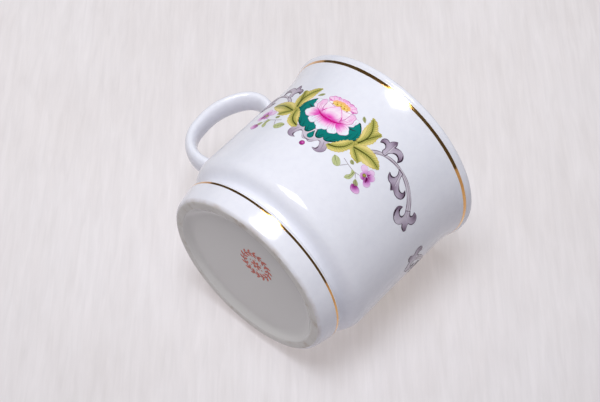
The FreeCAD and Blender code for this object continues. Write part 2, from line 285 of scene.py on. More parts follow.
def porcelain():
    """Clear-glazed white porcelain: faint mottle, glaze ripple, pinholes; painted shade in the waist and on
    the underside, and a painted brown contact shadow along the foot's lower edge.
    """
    n = Nodes("glazed_porcelain")
    where = n.position()
    cloud = n.noise(where, 22, 3, 0.5)
    fine = n.noise(where, 420, 3, 0.6)
    white = n.ramp(cloud, [(0.30, rgba((230, 232, 242))), (0.70, rgba((233, 234, 244)))])
    grain = n.ramp(fine, [(0.25, rgba((251, 251, 252))), (0.6, rgba((255, 255, 255)))])
    colour = n.mix(1.0, white, grain, "MULTIPLY")
    x, y, height = n.split(where)
    x = n.math("SUBTRACT", x, AXIS_X)
    square = n.math("ADD", n.math("MULTIPLY", x, x), n.math("MULTIPLY", y, y))
    # Painted shade: the waist's groove is tinted darker and bluer, most from about 10.6 to 11.5 mm up.
    waist_shade = n.ramp(n.span(height, 0.0085, 0.0135, 0, 1),
                    [(0.0, (0, 0, 0)), (0.42, (1, 1, 1)), (0.60, (1, 1, 1)), (1.0, (0, 0, 0))])
    colour = n.mix(n.math("MULTIPLY", waist_shade, 0.25), colour, rgba((212, 216, 228)))
    recess = n.span(square, UNDERSIDE_EDGE[0], UNDERSIDE_EDGE[1], 1.0, 0.0)
    # Painted shade: the glazed underside inside this radius and below 2.6 mm is darkened to a warmer grey.
    under = n.math("MULTIPLY", recess, n.span(height, 0.0022, 0.0026, 1.0, 0.0))
    colour = n.mix(n.math("MULTIPLY", under, 0.92), colour, rgba((204, 202, 200)))
    # Painted contact shadow: a brown, noise-broken line along the lowest 1.2 mm of the outer foot.
    edge = n.ramp(n.span(height, 0.0, 0.0012, 0, 1),
                  [(0.0, (1, 1, 1)), (0.35, (0.8, 0.8, 0.8)), (1.0, (0, 0, 0))])
    foot_edge_shadow = n.span(n.noise(where, 120, 4, 0.6), 0.35, 0.7, 0.05, 0.55)
    outer = n.math("SUBTRACT", 1.0, recess)
    colour = n.mix(n.math("MULTIPLY", n.math("MULTIPLY", edge, foot_edge_shadow), outer), colour,
                   rgba((172, 148, 120)))
    specks = n.add("ShaderNodeTexVoronoi")
    specks.inputs["Scale"].default_value = 95
    n.link(where, specks.inputs["Vector"])
    chance = n.split(specks.outputs["Color"])[0]
    tiny = n.math("LESS_THAN", specks.outputs["Distance"], 0.028)
    rare = n.math("GREATER_THAN", chance, 0.965)
    dot = n.math("MULTIPLY", n.math("MULTIPLY", tiny, rare), 0.55)
    colour = n.mix(dot, colour, rgba((120, 104, 92)))
    n.link(colour, n.bsdf.inputs["Base Color"])
    n.link(n.span(n.noise(where, 60, 3), 0.3, 0.7, 0.12, 0.17), n.bsdf.inputs["Roughness"])
    ripple = n.bump(n.noise(where, 70, 2, 0.4), 0.08, 0.0004)
    peel = n.bump(fine, 0.02, 0.00008, ripple)
    n.link(peel, n.bsdf.inputs["Normal"])
    n.bsdf.inputs["IOR"].default_value = 1.52
    n.bsdf.inputs["Subsurface Weight"].default_value = 0.10
    n.bsdf.inputs["Subsurface Radius"].default_value = (1.0, 0.95, 0.9)
    n.bsdf.inputs["Subsurface Scale"].default_value = 0.0010
    return n.material


def bare_porcelain():
    """Unglazed bearing ring, ground flat, with a little soiling."""
    n = Nodes("bare_foot_porcelain")
    where = n.position()
    dirt = n.noise(where, 150, 5, 0.65)
    clay = n.ramp(dirt, [(0.30, rgba((186, 174, 162))), (0.46, rgba((212, 209, 206))),
                         (0.75, rgba((220, 218, 216)))])
    n.link(clay, n.bsdf.inputs["Base Color"])
    n.link(n.span(n.noise(where, 900, 2), 0.3, 0.7, 0.55, 0.75), n.bsdf.inputs["Roughness"])
    n.link(n.bump(n.noise(where, 2600, 3, 0.7), 0.5, 0.00008), n.bsdf.inputs["Normal"])
    return n.material


def fired_gold():
    """Bright gold line: brushed streaks along the band, thin patches where it is rubbed."""
    n = Nodes("fired_gold")
    where = n.position()
    streak = n.noise(n.stretched(where, (260, 260, 2600)), 1.0, 4, 0.6)
    patch = n.noise(where, 130, 4, 0.6)
    colour = n.ramp(patch, [(0.28, rgba((201, 142, 62))), (0.55, rgba((226, 168, 82))),
                            (0.8, rgba((240, 196, 118)))])
    n.link(colour, n.bsdf.inputs["Base Color"])
    n.link(n.span(streak, 0.3, 0.7, 0.07, 0.15), n.bsdf.inputs["Roughness"])
    n.link(n.bump(streak, 0.12, 0.00004), n.bsdf.inputs["Normal"])
    n.bsdf.inputs["Metallic"].default_value = 1.0
    n.bsdf.inputs["Coat Weight"].default_value = 1.0
    n.bsdf.inputs["Coat IOR"].default_value = 1.6
    n.bsdf.inputs["Coat Roughness"].default_value = 0.06
    return n.material


def enamel(name, mottle, gloss=(0.10, 0.20)):
    """Fired overglaze enamel: painted colours, printed grain and slightly uneven gloss."""
    n = Nodes(name)
    where = n.position()
    paint = n.add("ShaderNodeAttribute", attribute_name="paint").outputs["Color"]
    wash = n.noise(where, 900, 3, 0.6)
    grain = n.noise(where, 5200, 2, 0.5)
    shade = n.ramp(wash, [(0.30, (1 - mottle,) * 3), (0.70, (1.0, 1.0, 1.0))])
    tooth = n.ramp(grain, [(0.30, (1 - mottle * 0.6,) * 3), (0.70, (1.0, 1.0, 1.0))])
    colour = n.mix(1.0, n.mix(1.0, paint, shade, "MULTIPLY"), tooth, "MULTIPLY")
    n.link(colour, n.bsdf.inputs["Base Color"])
    n.link(n.span(wash, 0.3, 0.7, gloss[0], gloss[1]), n.bsdf.inputs["Roughness"])
    n.link(n.bump(wash, 0.10, 0.00003), n.bsdf.inputs["Normal"])
    n.bsdf.inputs["IOR"].default_value = 1.50
    return n.material


# ------------------------------------------------------------------ cup body

def body_profile():
    """Half outline from the middle of the underside, round foot, wall and lip, to the inside floor."""
    slope = (FLARE[1][0] - FLARE[0][0], FLARE[1][1] - FLARE[0][1])
    waist = ((DRUM, 7.9), (35.24, 8.3), (34.4, 8.75), (33.5, 9.15), (33.2, 9.6), (33.38, 10.4),
             (33.68, 11.2), (34.3, 12.0), (35.4, 12.95), (37.05, 14.4), (38.12, 16.3),
             (WALL, WALL_BOTTOM))
    corner = math.sqrt(0.5) * INSIDE_FILLET
    flat_edge = INNER - INSIDE_FILLET
    fillet_top = INSIDE_FLOOR + INSIDE_FILLET
    return chained(
        spline_through(((0, RECESS), (25.2, RECESS)), step=3),
        spline_through(((25.2, RECESS), (26.6, 1.86), (27.8, 1.42), (28.9, 0.62), (29.8, 0)),
                       (1, 0), (0.9, -0.35), 0.3),
        spline_through(((29.8, 0), (31.9, 0)), step=0.4),
        arc_through((31.9, 0), (33.2, 0.42), (33.9, 1.5), 11),
        spline_through(((33.9, 1.5), (34.5, 3.6), (34.95, 5.6), (35.22, 6.9), (DRUM, 7.9)), (0.34, 1),
                       (0.10, 1), 0.4),
        spline_through(waist, (0.10, 1), (0, 1), 0.22),
        spline_through(((WALL, WALL_BOTTOM), (WALL, WALL_TOP)), step=2.2),
        spline_through(((WALL, WALL_TOP), (38.72, 64.0), (39.15, 67.0), FLARE[0]), (0, 1), slope, 0.8),
        spline_through(FLARE, step=0.5),
        spline_through((FLARE[1], (40.70, 72.05), (40.87, 72.9)), slope, (0.06, 1), 0.25),
        arc_through((40.87, 72.9), (40.05, 74.0), (39.0, 73.35), 13),
        spline_through(((39.0, 73.35), (38.15, 70.6), (37.15, 67.2), (36.3, 63.0), (INNER, 57.0)),
                       (-0.3, -1), (0, -1), 0.8),
        spline_through(((INNER, 57.0), (INNER, fillet_top)), step=3),
        arc_through((INNER, fillet_top), (flat_edge + corner, fillet_top - corner),
                    (flat_edge, INSIDE_FLOOR), 21),
        spline_through(((flat_edge, INSIDE_FLOOR), (0, INSIDE_FLOOR)), step=3),
    )


def make_body(glaze, bare):
    """The turned body in glaze, with the flat ring that it stands on left bare."""
    verts, faces = revolve(body_profile(), 288)
    body = mesh_object("cup_porcelain_body", verts, faces, glaze)
    body.data.materials.append(bare)
    for polygon in body.data.polygons:
        centre = polygon.center
        if centre.z < 0.10 * MM and math.hypot(centre.x - AXIS_X, centre.y) > 29.7 * MM:
            polygon.material_index = 1
    place(body, "porcelain", "cup_body")


# ------------------------------------------------------------------ handle

STRAP_DEPTH = 4.4                      # across the strap, in the handle's plane
STRAP_WIDTH = 9.0
STRAP_SQUARENESS = 2.25                # 2 would be an ellipse; more is boxier
HANDLE_CORNERS = ((36.0, 56.0), (52.3, 66.6), (62.6, 52.0), (59.6, 27.0), (36.0, 29.0))
HANDLE_RADII = (9.0, 22.0, 13.5)
ROOT_FILLET = 2.3
ROOT_REACH = 3.4                       # the mesh is finer up to this far off the wall


def handle_line():
    """Centre line of the strap as (radius, height) points: straight runs and tangent arcs."""
    corners = [np.array(c) for c in HANDLE_CORNERS]
    line = [corners[0]]
    for k, radius in enumerate(HANDLE_RADII):
        corner = corners[k + 1]
        inward = corner - corners[k]
        inward /= np.hypot(*inward)
        outward = corners[k + 2] - corner
        outward /= np.hypot(*outward)
        turn = math.acos(float(inward @ outward))
        reach = radius * math.tan(turn / 2)
        first = corner - inward * reach
        side = outward - inward * (inward @ outward)
        centre = first + side / np.hypot(*side) * radius
        last = corner + outward * reach
        middle = corner + (centre - corner) * (1 - radius / np.hypot(*(centre - corner)))
        line.append(arc_through(first, middle, last, 30))
    line.append(corners[-1])
    return np.vstack([np.atleast_2d(p) for p in line])


def resampled(line, step_at):
    """Walk along a polyline with a step that depends on the radius reached."""
    lengths = np.concatenate([[0], np.cumsum(np.hypot(*np.diff(line, axis=0).T))])
    places, s = [0.0], 0.0
    while s < lengths[-1]:
        s = min(s + step_at(np.interp(s, lengths, line[:, 0])), lengths[-1])
        places.append(s)
    return np.c_[np.interp(places, lengths, line[:, 0]), np.interp(places, lengths, line[:, 1])]


def make_handle(glaze):
    """Strap swept along its line; near the wall it swells in a fillet that runs out onto the wall."""
    rough = resampled(handle_line(), lambda radius: 0.16 if radius < WALL + ROOT_REACH else 0.7)
    kernel = np.array([1, 2, 3, 2, 1], float)
    kernel /= kernel.sum()
    smooth = np.c_[np.convolve(rough[:, 0], kernel, "valid"), np.convolve(rough[:, 1], kernel, "valid")]
    tangents = unit(np.gradient(smooth, axis=0))
    around = np.linspace(0, 2 * np.pi, 56, endpoint=False)
    deep, wide = (np.sign(wave) * np.abs(wave) ** (2 / STRAP_SQUARENESS)
                  for wave in (np.cos(around), np.sin(around)))
    verts = []
    for (radius, height), (t_r, t_z) in zip(smooth, tangents):
        normal = np.array([-t_z, t_r])
        section_r = radius + normal[0] * deep * STRAP_DEPTH / 2
        section_z = height + normal[1] * deep * STRAP_DEPTH / 2
        section_y = wide * STRAP_WIDTH / 2
        gap = np.hypot(section_r, section_y) - WALL
        inside = np.clip(ROOT_FILLET - np.clip(gap, 0, None), 0, ROOT_FILLET)
        swell = ROOT_FILLET - np.sqrt(ROOT_FILLET**2 - inside**2)
        out_deep = deep / (STRAP_DEPTH / 2)
        out_wide = wide / (STRAP_WIDTH / 2)
        size = np.hypot(out_deep, out_wide)
        out_deep, out_wide = out_deep / size, out_wide / size
        section_r = section_r + normal[0] * out_deep * swell
        section_z = section_z + normal[1] * out_deep * swell
        section_y = section_y + out_wide * swell
        verts.append(np.c_[AXIS_X - section_r * MM, section_y * MM, section_z * MM])
    rings, count = len(verts), len(around)
    flat = np.vstack(verts)
    faces = []
    for i in range(rings - 1):
        for k in range(count):
            j = (k + 1) % count
            faces.append((i * count + k, i * count + j, (i + 1) * count + j, (i + 1) * count + k))
    faces.append(tuple(range(count - 1, -1, -1)))
    faces.append(tuple((rings - 1) * count + k for k in range(count)))
    place(mesh_object("cup_handle", flat, faces, glaze), "porcelain", "handle")


# ------------------------------------------------------------------ gold bands

def make_band(name, node, gold, line, base_radius, slope, waver):
    """Thin domed gold line on the glaze with slightly uneven hand-wheeled edges."""
    centre, width = line
    segments = 420
    angles = np.linspace(0, 2 * np.pi, segments, endpoint=False)

    def wobble(scale):
        total = np.zeros(segments)
        for harmonic in range(2, 26):
            total += RNG.normal() / harmonic**0.7 * np.cos(harmonic * angles + RNG.uniform(0, 6.28))
        return scale * total / np.abs(total).max()

    lower = centre - width / 2 + wobble(waver)
    upper = centre + width / 2 + wobble(waver)
    shape = ((0.0, -0.04), (0.0, 0.03), (0.06, 0.045), (0.15, 0.047), (0.5, 0.048), (0.85, 0.047),
             (0.94, 0.045), (1.0, 0.03), (1.0, -0.04))
    verts = []
    for across, lift in shape:
        height = lower + (upper - lower) * across
        verts.append(ring_points(base_radius + slope * (height - centre) + lift, height, angles))
    flat = np.vstack(verts)
    faces = []
    rows = len(shape)
    for i in range(rows):
        for k in range(segments):
            j = (k + 1) % segments
            a, b = i * segments, ((i + 1) % rows) * segments
            faces.append((a + k, a + j, b + j, b + k))
    place(mesh_object(name, flat, faces, gold), "gold", node)


# ------------------------------------------------------------------ films of enamel

class Film:
    """Closed thin patches lying on the cup, gathered into one mesh with a painted colour."""

    def __init__(self):
        self.points, self.faces, self.colours = [], [], []
        self.count = 0

    def patch(self, outline, paint, lift, grid=0.55):
        """One filled outline; paint(s, z) gives 0-255 colours; lift is its height over the glaze."""
        outline = np.asarray(outline, float)
        lo, hi = outline.min(0), outline.max(0)
        xs, ys = np.meshgrid(np.arange(lo[0] + grid / 2, hi[0], grid),
                             np.arange(lo[1] + grid / 2, hi[1], grid))
        loose = np.c_[xs.ravel(), ys.ravel()]
        if len(loose):
            gaps = np.hypot(loose[:, None, 0] - outline[None, :, 0],
                            loose[:, None, 1] - outline[None, :, 1]).min(1)
            loose = loose[gaps > grid * 0.45]
        everything = np.vstack([outline, loose])
        ring = list(range(len(outline)))
        got = delaunay_2d_cdt([Vector(p) for p in everything], [], [ring], 1, 1e-6)
        flat = np.array([tuple(v) for v in got[0]])
        triangles = [tuple(f) for f in got[2] if len(f) == 3]
        if not triangles:
            return
        colours = linear(paint(flat[:, 0], flat[:, 1]))
        edges = {}
        for f in triangles:
            for a, b in ((f[0], f[1]), (f[1], f[2]), (f[2], f[0])):
                edges[(a, b)] = True
        top, n = self.count, len(flat)
        self.points.append(np.c_[flat, np.full(n, lift)])
        self.points.append(np.c_[flat, np.full(n, -0.03)])
        self.colours += [colours, colours]
        self.faces += [tuple(top + v for v in f) for f in triangles]
        self.faces += [tuple(top + n + v for v in reversed(f)) for f in triangles]
        for (a, b) in edges:
            if (b, a) not in edges:
                self.faces.append((top + b, top + a, top + n + a, top + n + b))
        self.count += 2 * n

    def area(self, outline, paint, lift, grid=0.55):
        """One patch inside a smooth outline, given as closed_curve takes it."""
        self.patch(closed_curve(outline), paint, lift, grid)

    def stroke(self, line, widths, colour, lift):
        """A brush line along points; widths are its half widths at start, middle and end."""
        p = spline_through(line, step=0.35) if len(line) > 2 else spline_through(line, step=0.5)
        t = unit(np.gradient(p, axis=0))
        half = np.interp(np.linspace(0, 1, len(p)), (0, 0.5, 1), widths)[:, None]
        side = np.c_[-t[:, 1], t[:, 0]] * half
        self.patch(np.vstack([p + side, (p - side)[::-1]]), flat_paint(colour), lift, grid=5)

    def build(self, name, material, to_row):
        points = np.vstack(self.points)
        obj = mesh_object(name, to_row(points), self.faces, material, smooth=False)
        layer = obj.data.color_attributes.new("paint", "FLOAT_COLOR", "POINT")
        colours = np.vstack(self.colours)
        layer.data.foreach_set("color", np.c_[colours, np.ones(len(colours))].ravel())
        return obj


def flat_paint(colour):
    return lambda s, z: np.tile(np.array(colour, float), (len(s), 1))


def shaded(stops, measure):
    """Paint whose colour follows a measure(s, z) through (value, colour) stops."""
    at = [v for v, _ in stops]
    table = np.array([c for _, c in stops], float)

    def paint(s, z):
        m = measure(s, z)
        return np.stack([np.interp(m, at, table[:, k]) for k in range(3)], -1)
    return paint


def distance_from(s0, z0, stretch=1.0):
    return lambda s, z: np.hypot(s - s0, (z - z0) * stretch)


def closed_curve(points):
    """Dense outline; a point written twice is a corner, as in the CAD outlines."""
    runs, run, previous = [], [points[0]], points[0]
    for point in list(points[2:]) + [points[0]]:
        if point == previous:
            runs.append(run)
            run = [point]
        else:
            run.append(point)
        previous = point
    if len(run) > 1:
        runs.append(run)
    return np.vstack([spline_through(r, step=0.3)[:-1] for r in runs])


def mirrored(points):
    return tuple((-s, z) for s, z in points)


def both_sides(half):
    left = [(-s, z) for s, z in reversed(half)]
    joined = list(half) + [p for p in left if p[0] < -1e-6]
    if joined[0] != joined[1]:
        joined.insert(0, joined[0])
    return tuple(joined)


def on_wall(turn):
    """Row-frame points for (arc, height, lift) on the wall, the decal turned about the axis."""
    def to_row(points):
        angle = -math.pi / 2 + points[:, 0] / WALL + math.radians(turn)
        radius = WALL + points[:, 2]
        return np.c_[AXIS_X + radius * np.cos(angle) * MM, radius * np.sin(angle) * MM,
                     (points[:, 1] + DECAL_RISE) * MM]
    return to_row


# Outlines, as (arc length to the right, height) in mm

TEAL_HALF = ((0, 50.0), (0, 50.0), (9.7, 53.1), (9.7, 53.1), (11.6, 51.3), (12.7, 49.3),
             (12.9, 47.7), (12.1, 46.2), (10.4, 44.6), (8.8, 42.4), (7.2, 40.9), (6.0, 40.1),
             (4.8, 39.9), (3.9, 40.7), (3.9, 40.7), (3.3, 39.5), (2.4, 39.1), (1.5, 39.6),
             (0.9, 40.8), (0, 42.4))
TEAL_DROP = ((0, 40.9), (0, 40.9), (0.6, 39.6), (1.05, 38.4), (0.7, 37.6), (0, 37.35), (-0.7, 37.6),
             (-1.05, 38.4), (-0.6, 39.6))
CROWN_PETAL = ((0, 57.6), (1.2, 57.6), (1.9, 57.2), (1.9, 57.2), (2.9, 57.5), (3.9, 57.1),
               (3.9, 57.1), (4.8, 57.1), (5.2, 56.5), (5.2, 56.5), (6.1, 56.0), (6.0, 55.2),
               (5.3, 54.8), (5.3, 54.8), (5.3, 54.2), (4.6, 53.9), (3.0, 53.5), (0, 53.2))
BOWL_PETAL = ((0, 54.8), (2.6, 54.9), (4.9, 54.4), (4.9, 54.4), (5.2, 52.8), (5.2, 51.0),
              (4.7, 49.4), (3.0, 48.0), (0, 47.4))
INNER_PETAL = ((3.9, 49.0), (3.9, 49.0), (4.9, 50.9), (5.0, 52.8), (5.6, 54.1), (5.6, 54.1),
               (6.2, 54.5), (6.8, 54.1), (6.8, 54.1), (7.5, 53.6), (7.4, 52.6), (7.4, 52.6),
               (7.7, 51.4), (7.2, 50.2), (6.2, 49.3), (5.0, 48.8))
UPPER_PETAL = ((4.9, 54.4), (4.9, 54.4), (6.4, 54.1), (7.3, 53.6), (7.3, 53.6), (8.2, 53.7),
               (9.2, 53.0), (9.2, 52.3), (8.8, 51.3), (8.8, 51.3), (8.8, 50.4), (8.2, 49.9),
               (7.4, 49.3), (7.4, 49.3), (5.9, 48.9), (4.2, 48.2), (3.7, 48.9), (4.6, 50.8),
               (5.1, 52.6))
LOWER_SIDE_PETAL = ((4.0, 48.6), (4.0, 48.6), (5.8, 49.3), (7.4, 49.3), (8.5, 48.6), (8.9, 47.9),
                    (8.9, 47.9), (9.4, 47.3), (9.2, 46.2), (8.5, 45.6), (8.5, 45.6), (7.7, 45.0),
                    (6.7, 44.9), (5.9, 45.2), (5.9, 45.2), (5.0, 46.0), (3.6, 47.4))
LOWER_PETAL = ((2.0, 47.8), (2.0, 47.8), (4.4, 47.6), (5.6, 46.4), (6.1, 45.1), (5.9, 44.1),
               (5.2, 43.6), (5.2, 43.6), (4.6, 43.2), (3.6, 43.1), (2.8, 43.8), (2.8, 43.8),
               (2.2, 45.4))
BOTTOM_HALF = ((0, 47.9), (2.2, 47.5), (2.9, 45.8), (2.8, 44.0), (2.0, 43.1), (1.2, 42.9),
               (1.2, 42.9), (0.8, 42.3), (0, 41.7))
HEART_HALF = ((0, 54.1), (0.6, 53.7), (1.9, 52.6), (3.0, 51.2), (3.1, 50.0), (2.3, 48.8),
              (1.1, 48.2), (0, 48.0))

TALL_LEAF = ((11.3, 58.0), (11.3, 58.0), (13.2, 57.6), (14.7, 56.4), (15.7, 55.0), (15.7, 55.0),
             (16.6, 55.3), (17.9, 55.1), (17.9, 55.1), (17.4, 53.4), (17.5, 51.5), (16.9, 49.4),
             (15.7, 47.6), (13.6, 46.2), (13.6, 46.2), (12.9, 47.4), (12.9, 48.8), (12.5, 50.6),
             (12.0, 52.6), (11.9, 54.4), (11.9, 56.2))
SIDE_LEAF = ((25.2, 45.5), (25.2, 45.5), (23.4, 44.2), (21.0, 43.2), (18.9, 42.8), (18.9, 42.8),
             (18.6, 41.4), (18.6, 41.4), (16.6, 41.4), (15.0, 42.0), (13.9, 43.2), (13.6, 44.7),
             (13.6, 44.7), (14.9, 46.9), (17.4, 48.2), (20.4, 48.2), (23.4, 47.2))
LOW_LEAF = ((12.7, 46.3), (12.7, 46.3), (13.5, 44.4), (13.0, 42.2), (12.2, 40.4), (11.0, 39.2),
            (9.4, 38.4), (8.0, 38.2), (6.7, 39.1), (6.7, 39.1), (8.0, 40.8), (9.2, 42.8),
            (10.8, 45.0))

CENTRE_SCROLL_HALF = ((0, 43.0), (0, 43.0), (6.5, 41.0), (6.5, 41.0), (7.2, 38.8), (8.0, 36.9),
                      (7.4, 35.3), (6.1, 34.5), (4.9, 34.5), (3.8, 35.0), (3.8, 35.0), (4.9, 35.4),
                      (5.2, 36.4), (4.7, 37.7), (3.8, 38.4), (2.9, 37.7), (2.0, 36.4), (1.0, 36.0),
                      (0, 36.4))
SCROLL_STEM = ((18.6, 48.4), (18.6, 48.4), (20.4, 50.0), (22.6, 51.1), (26.0, 52.1), (30.0, 52.4),
               (34.0, 52.0), (38.0, 50.8), (41.4, 49.0), (44.6, 46.6), (44.6, 46.6), (43.0, 45.0),
               (43.0, 45.0), (41.4, 46.8), (38.4, 48.9), (34.4, 50.6), (30.0, 51.5), (26.0, 51.2),
               (22.8, 50.1), (19.4, 47.8), (19.4, 47.8))
SCROLL_CREST = ((22.5, 50.6), (22.5, 50.6), (21.5, 51.5), (21.6, 52.8), (20.6, 53.7), (18.9, 53.0),
                (18.9, 53.0), (18.8, 54.6), (19.8, 55.6), (21.3, 55.5), (21.3, 55.5), (21.9, 56.8),
                (23.1, 57.9), (23.1, 57.9), (23.7, 56.8), (23.6, 55.5), (23.6, 55.5), (25.0, 56.3),
                (26.7, 56.5), (28.1, 55.8), (28.6, 54.4), (27.9, 52.7), (27.9, 52.7), (27.3, 53.7),
                (26.1, 54.1), (24.8, 53.7), (23.6, 52.3), (23.4, 50.9), (23.4, 50.9))
SCROLL_LEAF = ((30.0, 51.7), (30.0, 51.7), (31.0, 50.2), (31.0, 48.8), (30.0, 48.0), (28.4, 48.3),
               (28.4, 48.3), (28.9, 47.0), (30.0, 46.1), (31.5, 45.9), (31.5, 45.9), (33.1, 44.3),
               (33.1, 44.3), (33.8, 45.3), (33.8, 45.3), (35.2, 44.8), (37.0, 45.0), (38.4, 46.3),
               (38.3, 48.0), (36.9, 49.0), (36.9, 49.0), (37.1, 47.8), (36.2, 47.1), (34.8, 47.4),
               (33.4, 48.7), (32.4, 50.4), (32.2, 51.7), (32.2, 51.7))
SCROLL_END = ((44.4, 46.9), (44.4, 46.9), (45.6, 46.1), (46.4, 46.8), (45.9, 48.2), (45.9, 48.2),
              (47.4, 48.5), (48.9, 47.6), (49.2, 46.1), (48.4, 44.7), (47.4, 44.2), (47.4, 44.2),
              (48.0, 43.1), (48.9, 41.9), (48.4, 41.0), (48.4, 41.0), (47.0, 41.0), (45.6, 41.8),
              (45.6, 41.8), (44.6, 40.3), (42.8, 39.5), (40.9, 40.1), (39.5, 41.8), (39.5, 43.9),
              (40.8, 45.0), (40.8, 45.0), (41.0, 43.4), (42.3, 42.5), (43.4, 43.2), (43.4, 44.4),
              (42.8, 45.4), (42.8, 45.4))
LEAFLETS = (
    ((11.4, 37.9), (11.4, 37.9), (12.9, 38.1), (14.4, 37.3), (15.1, 36.0), (14.2, 35.0), (12.7, 35.2),
     (11.6, 36.5)),
    ((18.8, 38.3), (18.8, 38.3), (20.5, 38.2), (20.5, 38.2), (20.8, 36.4), (20.5, 34.8), (19.0, 34.0),
     (19.0, 34.0), (18.9, 35.2), (19.6, 36.4)),
    ((16.5, 40.7), (16.5, 40.7), (17.6, 40.7), (18.1, 40.0), (17.3, 39.5), (16.6, 39.9)),
    ((8.7, 56.3), (8.7, 56.3), (9.7, 56.0), (10.7, 54.5), (10.7, 54.5), (9.5, 54.8), (8.8, 55.5)),
    ((22.0, 36.7), (22.0, 36.7), (23.2, 36.4), (24.1, 35.6), (23.2, 34.8), (22.2, 35.3)),
)
VIOLET_PETALS = (
    ((22.6, 40.6), (22.6, 40.6), (21.4, 40.7), (20.4, 41.6), (20.8, 42.8), (22.1, 43.0), (23.0, 42.2),
     (23.4, 41.0)),
    ((23.4, 40.8), (23.4, 40.8), (23.3, 42.4), (24.0, 43.5), (25.1, 43.5), (25.6, 42.6), (25.0, 41.2)),
    ((24.2, 40.6), (24.2, 40.6), (25.2, 42.2), (26.4, 42.3), (26.9, 41.3), (26.4, 40.3), (25.2, 39.9)),
    ((24.0, 40.2), (24.0, 40.2), (25.8, 40.2), (27.0, 39.1), (26.7, 37.8), (25.5, 37.3), (24.4, 38.2)),
    ((23.8, 40.1), (23.8, 40.1), (24.4, 38.8), (23.4, 38.3), (22.2, 38.9), (21.9, 40.0), (22.6, 40.6)),
)
VIOLET_BUD = ((22.3, 34.5), (22.3, 34.5), (23.2, 35.1), (24.6, 35.3), (25.9, 34.7), (26.2, 33.9),
              (25.2, 32.9), (23.8, 32.7), (22.7, 33.4))

LAYER = 0.014                          # one coat over another, in mm
BASE = 0.062


def level(k):
    return BASE + LAYER * k


def toothed(outline, tooth, depth):
    """Dense outline with small teeth that stand outward and lean along the edge."""
    dense = closed_curve(outline)
    ahead = np.roll(dense, -1, 0)
    tangent = unit(ahead - np.roll(dense, 1, 0))
    turning = np.sign(np.sum(dense[:, 0] * ahead[:, 1] - ahead[:, 0] * dense[:, 1]))
    outward = np.c_[tangent[:, 1], -tangent[:, 0]] * turning
    travelled = np.cumsum(np.hypot(*(ahead - dense).T))
    return dense + outward * (depth * ((travelled / tooth) % 1.0))[:, None]


def edge_lines(film, outline, colour, half_width, lift):
    """Printed key line that follows a closed outline, run by run."""
    dense = closed_curve(outline)
    tangent = unit(np.roll(dense, -1, 0) - np.roll(dense, 1, 0))
    normal = np.c_[-tangent[:, 1], tangent[:, 0]]
    count = len(dense)
    span = 26
    for start in range(0, count, span):
        idx = [(start + k) % count for k in range(min(span, count - start) + 1)]
        half = half_width * (0.75 + 0.35 * np.sin(np.array(idx) * 0.23))[:, None]
        left = dense[idx] + normal[idx] * half
        right = dense[idx] - normal[idx] * half
        film.patch(np.vstack([left, right[::-1]]), flat_paint(colour), lift, grid=5)


MAGENTA = (220, 20, 158)
PINK = (240, 120, 205)
WHITE = (250, 246, 252)


def petal_paint(stops, glow=1.0):
    """Petal shading from its root, deepened towards the magenta heart line of the flower."""
    base = shaded(stops, distance_from(0, 47.7, 1.25))

    def paint(s, z):
        colour = base(s, z)
        line = 47.55 + 0.035 * s**2
        off = (z - line) / np.where(z > line, 0.9, 1.0)
        amount = glow * np.exp(-off**2) * np.clip(1.25 - np.abs(s) / 5.4, 0, 1)
        return colour * (1 - amount[:, None]) + np.array(MAGENTA, float) * amount[:, None]
    return paint


